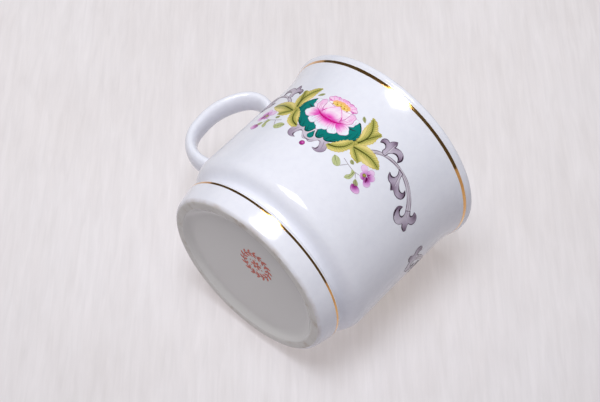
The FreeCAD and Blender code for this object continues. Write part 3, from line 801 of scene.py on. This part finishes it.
def paint_peony():
    film = Film()
    rose, lilac = (190, 88, 164), (206, 140, 196)
    crown = shaded([(0, (232, 128, 206)), (0.8, (242, 176, 226)), (1.6, (250, 218, 243)),
                    (2.5, (247, 200, 236)), (3.4, (240, 164, 220))],
                   lambda s, z: np.clip(z - 54.1 + 0.25 * np.cos(s * 2.6), 0, 9))
    film.area(both_sides(CROWN_PETAL), crown, level(0), 0.35)
    film.area(both_sides(BOWL_PETAL),
               petal_paint([(0, PINK), (3.5, (248, 196, 236)), (6, (252, 226, 247)), (9, WHITE)]),
               level(1), 0.4)
    side_stops = [(0, MAGENTA), (4.6, (238, 96, 196)), (6.1, (247, 176, 230)), (7.5, (250, 228, 247)),
                  (8.8, (236, 246, 253))]
    for turn in (tuple, mirrored):
        film.area(turn(UPPER_PETAL), petal_paint(side_stops), level(1), 0.4)
        film.area(turn(LOWER_PETAL),
                   petal_paint([(0, MAGENTA), (2.4, (244, 136, 212)), (3.8, (250, 204, 240)),
                                (5.2, (236, 244, 252))]), level(1), 0.4)
        film.area(turn(INNER_PETAL),
                   petal_paint([(0, MAGENTA), (3.4, (238, 104, 198)), (5.0, (248, 188, 234)),
                                (6.8, (253, 230, 248)), (8.6, (247, 204, 238))]), level(2), 0.35)
        film.area(turn(LOWER_SIDE_PETAL), petal_paint(side_stops), level(3), 0.4)
    film.area(both_sides(BOTTOM_HALF),
               petal_paint([(0, MAGENTA), (1.8, (244, 138, 212)), (3.3, (250, 206, 240)),
                            (4.9, (236, 242, 252))]),
               level(2), 0.4)
    film.area(both_sides(HEART_HALF),
               petal_paint([(0, MAGENTA), (1.3, (240, 96, 198)), (2.9, (249, 196, 238)),
                            (4.6, (253, 236, 250)), (6.4, (250, 220, 246))], 0.7), level(3), 0.3)
    creases = (((4.4, 49.0), (5.6, 50.6), (6.4, 52.4)), ((5.0, 48.9), (6.8, 50.0), (8.2, 51.4)),
               ((4.4, 48.2), (6.0, 48.0), (7.8, 47.7)), ((4.2, 47.8), (5.8, 46.9), (7.4, 46.2)),
               ((5.6, 48.4), (7.0, 48.5), (8.2, 48.2)), ((4.8, 47.2), (6.2, 46.3), (6.9, 45.5)),
               ((2.8, 47.3), (3.8, 45.8), (4.3, 44.2)), ((3.6, 47.4), (4.7, 45.9), (5.3, 44.7)),
               ((1.0, 47.2), (1.3, 45.6), (1.4, 44.2)), ((1.8, 47.0), (2.2, 45.8), (2.2, 44.6)),
               ((0.9, 56.6), (1.0, 57.0), (1.1, 57.4)), ((2.4, 56.3), (2.8, 56.8), (2.9, 57.3)),
               ((3.8, 55.6), (4.5, 56.2), (4.8, 56.7)), ((4.2, 54.8), (5.0, 55.2), (5.6, 55.5)),
               ((8.3, 52.6), (8.6, 51.8), (8.2, 50.6)), ((5.9, 49.9), (6.6, 51.6), (6.7, 53.4)))
    for turn in (tuple, mirrored):
        edge_lines(film, turn(UPPER_PETAL), lilac, 0.06, level(2))
        edge_lines(film, turn(LOWER_PETAL), lilac, 0.06, level(2))
        edge_lines(film, turn(INNER_PETAL), rose, 0.07, level(3))
        edge_lines(film, turn(LOWER_SIDE_PETAL), lilac, 0.06, level(4))
        for line in creases:
            film.stroke(turn(line), (0.08, 0.05, 0.02), (228, 104, 194), level(5))
        film.stroke(turn(((3.3, 51.2), (4.0, 49.6), (4.4, 48.6))), (0.05, 0.28, 0.30), (226, 70, 180),
                    level(2))
        film.stroke(turn(((0.4, 47.35), (2.6, 47.6), (4.6, 48.5), (6.0, 49.4))), (0.34, 0.26, 0.04),
                    (206, 6, 132), level(5))
    edge_lines(film, both_sides(BOTTOM_HALF), lilac, 0.05, level(3))
    edge_lines(film, both_sides(HEART_HALF), (232, 116, 200), 0.10, level(4))
    for turn in (tuple, mirrored):
        film.stroke(turn(((3.9, 54.7), (5.0, 54.8), (5.9, 55.3))), (0.06, 0.30, 0.10), (216, 104, 186),
                    level(0))
    edge_lines(film, both_sides(CROWN_PETAL), (198, 96, 174), 0.10, level(1))
    return film


def paint_stamens():
    film = Film()
    upper = ((0, 56.4), (0.5, 56.35), (0.9, 56.1), (0.9, 56.1), (1.6, 56.2), (2.1, 55.9), (2.1, 55.9),
             (2.9, 55.9), (3.4, 55.4), (3.4, 55.4), (3.8, 55.0), (3.5, 54.4), (2.6, 53.8), (1.4, 53.5),
             (0, 53.5))
    film.area(both_sides(upper),
               shaded([(0, (232, 200, 92)), (1.1, (246, 212, 110)), (2.2, (250, 196, 124)),
                       (3.2, (248, 172, 138))], lambda s, z: z - 53.6 + 0.1 * s * s), level(2), 0.35)
    for k in range(13):
        s = -3.1 + 0.52 * k
        z = 54.45 + 0.42 * (k % 3) - 0.055 * s * s
        stalk = ((s * 0.85, z - 0.55), (s * 0.95, z - 0.25), (s, z))
        film.stroke(stalk, (0.05, 0.06, 0.06), (206, 158, 52), level(3))
        size = 0.21 if k % 3 else 0.26
        dot = [(s + size * math.cos(a), z + size * math.sin(a))
               for a in np.linspace(0, 2 * math.pi, 14, endpoint=False)]
        tone = ((172, 118, 34), (252, 236, 150), (214, 168, 60))[k % 3]
        film.patch(dot, flat_paint(tone), level(4), 5)
    return film


def paint_teal():
    film = Film()
    depth = shaded([(0, (12, 144, 138)), (6, (8, 130, 124)), (11, (5, 114, 110))],
                   lambda s, z: np.abs(s) * 0.5 + (52 - z) * 0.6)
    film.area(both_sides(TEAL_HALF), depth, level(-1), 0.6)
    film.area(TEAL_DROP, flat_paint((6, 128, 122)), level(-1), 0.5)
    dark = (6, 62, 60)
    edge_lines(film, TEAL_DROP, dark, 0.10, level(0))
    edge_lines(film, both_sides(TEAL_HALF), dark, 0.21, level(0))
    for turn in (tuple, mirrored):
        film.stroke(turn(((10.6, 49.9), (9.2, 49.3), (7.9, 49.0))), (0.05, 0.20, 0.26), (40, 56, 70),
                    level(0))
    for turn in (tuple, mirrored):
        for line in (((2.4, 39.4), (2.2, 40.4), (1.6, 41.6)), ((2.6, 39.6), (3.0, 40.8), (3.4, 42.0)),
                     ((5.2, 40.3), (5.4, 41.4), (6.0, 42.6)), ((6.6, 40.7), (7.2, 41.9), (8.2, 43.2)),
                     ((9.8, 45.2), (10.2, 46.8), (10.2, 48.4)), ((11.6, 46.6), (11.8, 48.2), (11.2, 50.4))):
            film.stroke(turn(line), (0.10, 0.07, 0.02), dark, level(0))
    return film


LEAF_STOPS = [(0, (138, 144, 70)), (0.4, (178, 177, 94)), (1.0, (213, 201, 116)), (1.9, (235, 218, 138)),
              (3.2, (243, 229, 164))]


def rib_distance(*ribs):
    """Distance from the nearest midrib, so that leaves darken along it."""
    dense = np.vstack([spline_through(r, step=0.3) for r in ribs])

    def measure(s, z):
        return np.hypot(s[:, None] - dense[None, :, 0], z[:, None] - dense[None, :, 1]).min(1)
    return measure


def feathered(film, turn, rib, reach, colour, lift):
    """Side veins along a midrib, longest in the middle, leaning towards its tip."""
    lean = 0.75
    p = spline_through(rib, step=0.8)
    t = unit(np.gradient(p, axis=0))
    for k in range(1, len(p) - 1):
        size = reach * math.sin(math.pi * (k + 0.4) / len(p)) ** 0.7
        for hand in (1, -1):
            side = np.array([-t[k][1], t[k][0]]) * hand
            tip = p[k] + (side + t[k] * lean) * size
            mid = p[k] + (side * 0.55 + t[k] * lean * 0.3) * size
            film.stroke(turn((tuple(p[k]), tuple(mid), tuple(tip))), (0.07, 0.05, 0.02), colour, lift)


def paint_leaves():
    film = Film()
    dark, edge = (74, 78, 26), (190, 168, 82)
    tall_rib = ((13.9, 46.9), (14.9, 50.2), (14.4, 53.8), (11.9, 57.4))
    tall_lobe = ((14.9, 49.6), (16.2, 52.6), (17.6, 55.1))
    side_rib = ((13.9, 44.7), (17.0, 45.5), (21.0, 46.1), (24.5, 45.6))
    side_lobe = ((14.4, 44.3), (16.6, 42.9), (18.4, 41.7))
    low_rib = ((7.1, 39.4), (9.6, 40.4), (11.7, 42.8), (12.6, 45.6))
    joint = ((12.6, 46.6), (12.6, 46.6), (13.6, 47.6), (14.4, 46.9), (14.5, 45.2), (13.8, 43.9),
             (13.1, 44.4))
    for turn in (tuple, mirrored):
        film.area(turn(joint), flat_paint((150, 148, 66)), level(0), 0.5)
        sets = ((TALL_LEAF, (tall_rib, tall_lobe), 0, 2.2), (SIDE_LEAF, (side_rib, side_lobe), 2, 1.9),
                (LOW_LEAF, (low_rib,), 4, 1.5))
        for outline, ribs, k, reach in sets:
            ribs_here = [turn(r) for r in ribs]
            film.patch(toothed(turn(outline), 1.3, 0.36), shaded(LEAF_STOPS, rib_distance(*ribs_here)),
                       level(k), 0.4)
            edge_lines(film, turn(outline), edge, 0.06, level(k + 1))
            for r, rib in enumerate(ribs):
                film.stroke(turn(rib), (0.24, 0.16, 0.05) if r == 0 else (0.12, 0.10, 0.03), dark,
                            level(k + 2))
                feathered(film, turn, rib, reach if r == 0 else 1.0, (134, 130, 50), level(k + 1))
    return film


def scroll_paint(centres):
    """Mauve-grey body that deepens towards the curls."""
    def measure(s, z):
        return np.min([np.hypot(s - a, z - b) for a, b in centres], axis=0)
    return shaded([(0, (104, 84, 106)), (0.9, (142, 124, 146)), (2.2, (178, 164, 186)),
                   (4.5, (204, 196, 212))], measure)


def paint_scroll(turn):
    film = Film()
    ink = (62, 46, 62)
    curls = [turn((p,))[0] for p in ((19.0, 53.6), (28.3, 53.6), (23.0, 57.4), (28.8, 48.0),
                                     (37.6, 48.0), (33.0, 45.0), (47.4, 47.6), (48.2, 41.6),
                                     (40.2, 43.8))]
    paint = scroll_paint(curls)
    for k, outline in enumerate((SCROLL_STEM, SCROLL_CREST, SCROLL_LEAF, SCROLL_END)):
        fill = flat_paint((208, 201, 214)) if k == 0 else paint
        film.area(turn(outline), fill, level(-2 if k == 0 else 0), 0.45)
        edge_lines(film, turn(outline), (122, 102, 124) if k == 0 else (80, 60, 82), 0.13,
                   level(-1 if k == 0 else 1))
    deep = (
        ((19.0, 53.2), (20.4, 53.9), (21.6, 53.0)), ((24.4, 53.7), (26.0, 54.4), (27.6, 53.7)),
        ((27.9, 53.0), (28.4, 54.6), (27.6, 55.9)), ((28.5, 48.3), (29.9, 47.7), (31.0, 48.4)),
        ((34.2, 47.9), (35.6, 47.0), (37.0, 47.4)), ((37.0, 48.8), (38.2, 47.6), (38.2, 46.4)),
        ((44.6, 46.6), (45.8, 46.0), (46.6, 46.9)), ((40.8, 44.8), (40.9, 43.2), (42.4, 42.3)),
        ((42.4, 42.3), (43.4, 42.8), (43.5, 44.0)), ((45.7, 41.8), (46.8, 41.1), (48.3, 41.1)),
        ((39.7, 43.4), (39.9, 41.8), (41.0, 40.4)), ((31.6, 46.0), (32.6, 45.2), (33.1, 44.5)),
    )
    for line in deep:
        film.stroke(turn(line), (0.10, 0.26, 0.10), ink, level(2))
    inner = (((20.0, 48.9), (24.0, 50.9), (30.0, 51.9), (36.0, 51.0), (42.0, 47.6), (45.0, 44.4)),
             ((22.9, 51.4), (23.0, 53.6), (23.1, 56.2)), ((31.4, 51.0), (32.2, 48.6), (33.0, 46.4)))
    for line in inner:
        film.stroke(turn(line), (0.06, 0.07, 0.04), (136, 120, 138), level(2))
        lit = tuple((s + 0.28, z + 0.22) for s, z in line)
        film.stroke(turn(lit), (0.05, 0.09, 0.04), (228, 223, 232), level(2))
    return film


def paint_centre_scroll():
    film = Film()
    paint = shaded([(0, (222, 217, 228)), (3.5, (206, 198, 213)), (7.0, (182, 168, 188)),
                    (9, (150, 132, 156))], lambda s, z: np.abs(s) * 0.7 + np.clip(40 - z, 0, 9) * 0.8)
    film.area(both_sides(CENTRE_SCROLL_HALF), paint, level(-3), 0.5)
    edge_lines(film, both_sides(CENTRE_SCROLL_HALF), (116, 96, 116), 0.08, level(-2))
    film.stroke(((-2.2, 37.4), (-1.2, 36.7), (0, 36.5), (1.2, 36.7), (2.2, 37.4)), (0.05, 0.16, 0.05),
                (120, 100, 120), level(-1))
    for turn in (tuple, mirrored):
        film.stroke(turn(((4.0, 35.0), (5.2, 35.4), (5.4, 36.6))), (0.06, 0.22, 0.06), (92, 72, 92),
                    level(-1))
        film.stroke(turn(((5.4, 39.4), (6.2, 37.8), (6.6, 36.2))), (0.05, 0.08, 0.03), (132, 114, 136),
                    level(-1))
        film.stroke(turn(((3.4, 38.5), (4.2, 38.6), (5.0, 37.8))), (0.05, 0.10, 0.05), (120, 100, 120),
                    level(-1))
    return film


def paint_sprigs():
    film = Film()
    sage = shaded([(0, (172, 182, 124)), (1.4, (192, 200, 148)), (3, (204, 210, 164))],
                  lambda s, z: np.abs(np.sin(s * 2.3 + z * 1.7)) * 2.2)
    ribs = (((11.5, 37.7), (13.2, 36.5), (14.5, 35.5)), ((20.0, 38.0), (20.1, 36.2), (19.5, 34.4)),
            ((16.8, 40.6), (17.3, 40.2), (17.8, 39.7)), ((8.9, 56.1), (9.6, 55.4), (10.5, 54.7)),
            ((22.2, 36.4), (22.9, 35.8), (23.6, 35.4)))
    for turn in (tuple, mirrored):
        for line in (((14.4, 39.3), (17.4, 38.5), (20.4, 38.3), (22.2, 38.8)),
                     ((20.4, 38.3), (21.2, 37.6), (21.9, 36.8)), ((15.0, 36.0), (16.0, 37.4), (16.8, 38.6))):
            film.stroke(turn(line), (0.10, 0.11, 0.08), (168, 160, 170), level(-1))
        for k, outline in enumerate(LEAFLETS):
            film.area(turn(outline), sage, level(0), 0.4)
            edge_lines(film, turn(outline), (166, 170, 122), 0.05, level(1))
            film.stroke(turn(ribs[k]), (0.10, 0.08, 0.02), (112, 120, 62), level(2))
    return film


def paint_violets():
    film = Film()
    lilac = [(0, (120, 20, 100)), (0.9, (158, 54, 142)), (1.8, (214, 148, 214)), (3.2, (240, 208, 242))]
    for turn, sign in ((tuple, 1), (mirrored, -1)):
        for k, petal in enumerate(VIOLET_PETALS):
            film.area(turn(petal), shaded(lilac, distance_from(sign * 24.4, 39.8)), level(k % 3), 0.35)
            edge_lines(film, turn(petal), (206, 150, 206), 0.05, level(3 + k % 2))
        film.stroke(turn(((24.4, 40.2), (24.9, 39.3), (25.2, 38.4))), (0.42, 0.30, 0.05), (110, 8, 86),
                    level(4))
        film.stroke(turn(((23.9, 40.6), (24.4, 41.4), (24.6, 42.2))), (0.30, 0.16, 0.04), (136, 26, 116),
                    level(4))
        eye = [(sign * 23.25 + 0.72 * math.cos(a), 40.0 + 0.66 * math.sin(a))
               for a in np.linspace(0, 2 * math.pi, 22, endpoint=False)]
        film.patch(eye, shaded([(0, (196, 184, 96)), (0.7, (128, 118, 52))],
                               distance_from(sign * 23.25, 40.0)), level(6), 0.3)
        film.area(turn(VIOLET_BUD),
                   shaded([(0, (116, 20, 90)), (0.8, (164, 60, 148)), (1.7, (214, 148, 212)),
                           (2.8, (236, 196, 236))], distance_from(sign * 23.4, 34.9)), level(1), 0.35)
        edge_lines(film, turn(VIOLET_BUD), (150, 70, 146), 0.06, level(2))
    return film


def paint_berry():
    film = Film()
    ring = [(math.cos(a), 34.3 + math.sin(a)) for a in np.linspace(0, 2 * math.pi, 36, endpoint=False)]
    film.patch(ring, shaded([(0, (232, 150, 214)), (0.55, (176, 44, 146)), (1.2, (128, 16, 104))],
                            distance_from(0.15, 34.5)), level(0), 0.3)
    return film


DECAL = (
    ("teal_ground", "enamel_teal", paint_teal),
    ("centre_scroll", "enamel_mauve_grey", paint_centre_scroll),
    ("peony", "enamel_pink", paint_peony),
    ("stamens", "enamel_yellow", paint_stamens),
    ("leaves", "enamel_leaf_green", paint_leaves),
    ("right_scroll", "enamel_mauve_grey", lambda: paint_scroll(tuple)),
    ("left_scroll", "enamel_mauve_grey", lambda: paint_scroll(mirrored)),
    ("sprigs", "enamel_sage", paint_sprigs),
    ("violets", "enamel_violet", paint_violets),
    ("berry", "enamel_violet", paint_berry),
)
FRONT_TURN = 1.4
DECAL_RISE = 0.3
REAR_TURN = 167.0


def make_decals():
    finishes = {}
    for name, slot, painter in DECAL:
        if slot not in finishes:
            finishes[slot] = enamel(slot, 0.10)
        film = painter()
        for where, turn in (("front", FRONT_TURN), ("rear", REAR_TURN)):
            obj = film.build("%s_%s_film" % (where, name), finishes[slot], on_wall(turn))
            place(obj, slot, "%s_%s" % (where, name))


# ------------------------------------------------------------------ ornament under the foot

WREATH_CENTRE = (4.5, -8.0)
WREATH_RADIUS = 5.6                    # to the middle of the ring of leaves
WREATH_LEAVES = 16                     # pairs of leaves round the ring


def under_foot(points):
    """Row-frame points for an ornament drawn flat: it lies on the glazed underside, facing down."""
    return np.c_[AXIS_X + points[:, 0] * MM, points[:, 1] * MM, (RECESS - points[:, 2]) * MM]


def leaf_shape(centre, angle, length, width):
    """Outline of a leaf that comes to a point at both ends."""
    t = np.linspace(0, 1, 9)
    bulge = np.sin(np.pi * t) ** 0.8 * width / 2
    along = (t - 0.5) * length
    pts = np.r_[np.c_[along, bulge], np.c_[along[::-1], -bulge[::-1]][1:-1]]
    c, s = math.cos(angle), math.sin(angle)
    return np.c_[pts[:, 0] * c - pts[:, 1] * s + centre[0], pts[:, 0] * s + pts[:, 1] * c + centre[1]]


def wreath_point(reach, turn):
    """The point this far from the wreath's centre, in this direction."""
    return WREATH_CENTRE[0] + reach * math.cos(turn), WREATH_CENTRE[1] + reach * math.sin(turn)


def make_ornament():
    """Round wreath of small leaves with one rosette in the middle, printed in iron red."""
    film = Film()
    red = shaded([(0, (226, 84, 44)), (1, (202, 58, 32)), (2, (232, 104, 62))],
                 lambda s, z: 1 + np.sin(s * 1.7 + z * 2.9))
    for k in range(WREATH_LEAVES):
        turn = 2 * math.pi * k / WREATH_LEAVES
        stem = [wreath_point(WREATH_RADIUS, a)
                for a in np.linspace(turn, turn + 2 * math.pi / WREATH_LEAVES, 5)]
        film.stroke(stem, (0.2, 0.2, 0.2), (202, 58, 32), level(0))
        for side in (1, -1):
            leaf = leaf_shape(wreath_point(WREATH_RADIUS + side * 0.85, turn),
                              turn + math.pi / 2 - side * math.pi / 4, 2.3, 0.95)
            film.patch(leaf, red, level(-1), 0.5)
    for k in range(6):
        turn = math.pi * k / 3
        between = turn + math.pi / 6
        film.patch(leaf_shape(wreath_point(1.4, turn), turn, 2.1, 1.15), red, level(-1), 0.5)
        film.patch(leaf_shape(wreath_point(2.75, between), between, 0.7, 0.6), red, level(-1), 0.5)
    obj = film.build("underside_ornament", enamel("enamel_red", 0.35), under_foot)
    place(obj, "enamel_red", "backstamp")


# ------------------------------------------------------------------ stage

CAMERA_AZIMUTH = math.radians(302.4)   # direction from the cup's axis to the camera, seen from above
CAMERA_OUT = 0.51205                   # metres from the cup's axis, in that direction
CAMERA_SIDE = 0.00606                  # metres to the side of it
CAMERA_DROP = 0.20295                  # the camera is below the foot, because the cup lies on its side
CAMERA_PITCH = math.radians(24.89)
CAMERA_ROLL = math.radians(46.66)
LENS = 96.0                            # focal length in mm

toward = Vector((math.cos(CAMERA_AZIMUTH), math.sin(CAMERA_AZIMUTH), 0))
sideways = Vector((-toward.y, toward.x, 0))
upright = Vector((0, 0, 1))
middle = Vector((AXIS_X, 0, 0))


def rotation_from(right, up, back):
    return Matrix((right, up, back)).transposed().to_4x4()


def make_camera():
    """The camera at the photograph's viewing angle; returns which way is up in the picture."""
    forward = -toward * math.cos(CAMERA_PITCH) + upright * math.sin(CAMERA_PITCH)
    level_up = (upright - forward * forward.dot(upright)).normalized()
    level_right = forward.cross(level_up).normalized()
    up = level_up * math.cos(CAMERA_ROLL) - level_right * math.sin(CAMERA_ROLL)
    right = forward.cross(up).normalized()
    data = bpy.data.cameras.new("camera")
    data.lens = LENS
    data.sensor_width = 36.0
    data.clip_start = 0.01
    camera = bpy.data.objects.new("camera", data)
    place_at = middle + toward * CAMERA_OUT - sideways * CAMERA_SIDE - upright * CAMERA_DROP
    camera.matrix_world = Matrix.Translation(place_at) @ rotation_from(right, up, -forward)
    bpy.context.scene.collection.objects.link(camera)
    bpy.context.scene.camera = camera
    return up


# The cup lies on the floor with its lip and the shoulder above the waist touching.
FLOOR_LEAN = 0.0437                    # how far the floor's normal leans towards the lip
FLOOR_SWING = math.radians(26.2)       # turn of that normal from the camera's direction
FLOOR_DROP = 0.0377                    # metres from the cup's origin down to the floor
level_out = toward * math.cos(FLOOR_SWING) - sideways * math.sin(FLOOR_SWING)
floor_up = (level_out * math.sqrt(1 - FLOOR_LEAN**2) + upright * FLOOR_LEAN).normalized()


def grey(value):
    return (value, value, value)


def floor_material():
    """Pale floor with faint streaks, seen from its upper face only; a soft glow keeps shadows faint, and a
    painted falloff of light darkens it away from a spot near the cup.
    """
    n = Nodes("pale_floor")
    where = n.position()
    streak = n.noise(n.stretched(where, (520, 46, 1)), 1.0, 3, 0.6, 0.5)
    lock = n.noise(n.stretched(where, (150, 24, 1)), 1.0, 3, 0.5, 0.6)
    soft = n.noise(where, 14, 4, 0.6)
    fine = n.ramp(streak, [(0.30, grey(0.93)), (0.70, grey(1.0))])
    tufts = n.ramp(lock, [(0.30, (0.955, 0.95, 0.945)), (0.70, grey(1.0))])
    broad = n.ramp(soft, [(0.3, (0.965, 0.955, 0.945)), (0.7, grey(1.0))])
    pattern = n.mix(1.0, n.mix(1.0, fine, broad, "MULTIPLY"), tufts, "MULTIPLY")
    # Painted pool of light: the floor is brightest near a spot by the cup and darkens away from it.
    x, y, _ = n.split(where)
    away = n.math("SUBTRACT", y, 0.05)
    square = n.math("ADD", n.math("MULTIPLY", x, x), n.math("MULTIPLY", away, away))
    lean = n.math("ADD", n.math("MULTIPLY", n.math("SUBTRACT", 0.06, y), 0.9),
                  n.math("MULTIPLY", x, 0.05))
    fade = n.math("ADD", n.math("MULTIPLY", square, 4.0), lean)
    light_falloff = n.ramp(n.span(fade, 0.0, 0.25, 0, 1),
                  [(0.0, (1.02, 1.02, 1.015)), (1.0, (0.81, 0.81, 0.815))])
    pattern = n.mix(1.0, pattern, light_falloff, "MULTIPLY")
    n.link(n.mix(1.0, pattern, (0.365, 0.375, 0.415, 1), "MULTIPLY"), n.bsdf.inputs["Base Color"])
    n.link(n.mix(1.0, pattern, (0.455, 0.411, 0.399, 1), "MULTIPLY"), n.bsdf.inputs["Emission Color"])
    n.bsdf.inputs["Emission Strength"].default_value = 1.0
    n.bsdf.inputs["Roughness"].default_value = 0.95
    n.bsdf.inputs["Specular IOR Level"].default_value = 0.1
    clear = n.add("ShaderNodeBsdfTransparent")
    switch = n.add("ShaderNodeMixShader")
    n.link(n.add("ShaderNodeNewGeometry").outputs["Backfacing"], switch.inputs[0])
    n.link(n.bsdf.outputs[0], switch.inputs[1])
    n.link(clear.outputs[0], switch.inputs[2])
    n.link(switch.outputs[0], n.tree.nodes["Material Output"].inputs["Surface"])
    return n.material


def make_floor(image_up):
    """One large square under the cup; returns the picture's right and up along it."""
    along = (image_up - floor_up * image_up.dot(floor_up)).normalized()
    across = along.cross(floor_up).normalized()
    half = 1.1
    mesh = bpy.data.meshes.new("floor")
    mesh.from_pydata([(-half, -half, 0), (half, -half, 0), (half, half, 0), (-half, half, 0)], [],
                     [(0, 1, 2, 3)])
    floor = bpy.data.objects.new("floor", mesh)
    bpy.context.scene.collection.objects.link(floor)
    floor.data.materials.append(floor_material())
    floor.matrix_world = (Matrix.Translation(middle - floor_up * FLOOR_DROP)
                          @ rotation_from(across, along, floor_up))
    return across, along


SOFTBOX_HEIGHT = 1.7                   # metres over the floor
SOFTBOX_SIZE = (0.53, 0.42)            # width and depth, as shares of that height
SOFTBOX_SHIFT = (0.082, 0.115)         # to the left and to the near side, as shares of it


def make_lights(across, along):
    """One softbox over the floor, a little to the lower left of the picture, in a dim room."""
    h = SOFTBOX_HEIGHT
    data = bpy.data.lights.new("softbox", "AREA")
    data.shape = "RECTANGLE"
    data.size, data.size_y = (share * h for share in SOFTBOX_SIZE)
    data.energy = 30.4
    data.color = (1.0, 0.995, 0.995)
    light = bpy.data.objects.new("softbox", data)
    centre = middle + floor_up * (h - FLOOR_DROP)
    centre = centre - across * (SOFTBOX_SHIFT[0] * h) - along * (SOFTBOX_SHIFT[1] * h)
    turned = rotation_from(across, floor_up.cross(across), floor_up)
    light.matrix_world = Matrix.Translation(centre) @ turned
    bpy.context.scene.collection.objects.link(light)
    world = bpy.data.worlds.new("room")
    world.use_nodes = True
    background = world.node_tree.nodes["Background"]
    background.inputs["Color"].default_value = (0.93, 0.95, 1.0, 1.0)
    background.inputs["Strength"].default_value = 0.10
    bpy.context.scene.world = world


# ------------------------------------------------------------------ build

glaze = porcelain()
gold = fired_gold()
make_body(glaze, bare_porcelain())
make_handle(glaze)
rim_slope = (FLARE[1][0] - FLARE[0][0]) / (FLARE[1][1] - FLARE[0][1])
make_band("rim_gold_line", "rim_gold_band", gold, RIM_LINE,
          FLARE[0][0] + rim_slope * (RIM_LINE[0] - FLARE[0][1]), rim_slope, 0.05)
make_band("foot_gold_line", "foot_gold_band", gold, FOOT_LINE, DRUM - 0.05, 0.15, 0.04)
make_decals()
make_ornament()

make_lights(*make_floor(make_camera()))
bpy.context.scene.view_settings.view_transform = "Standard"
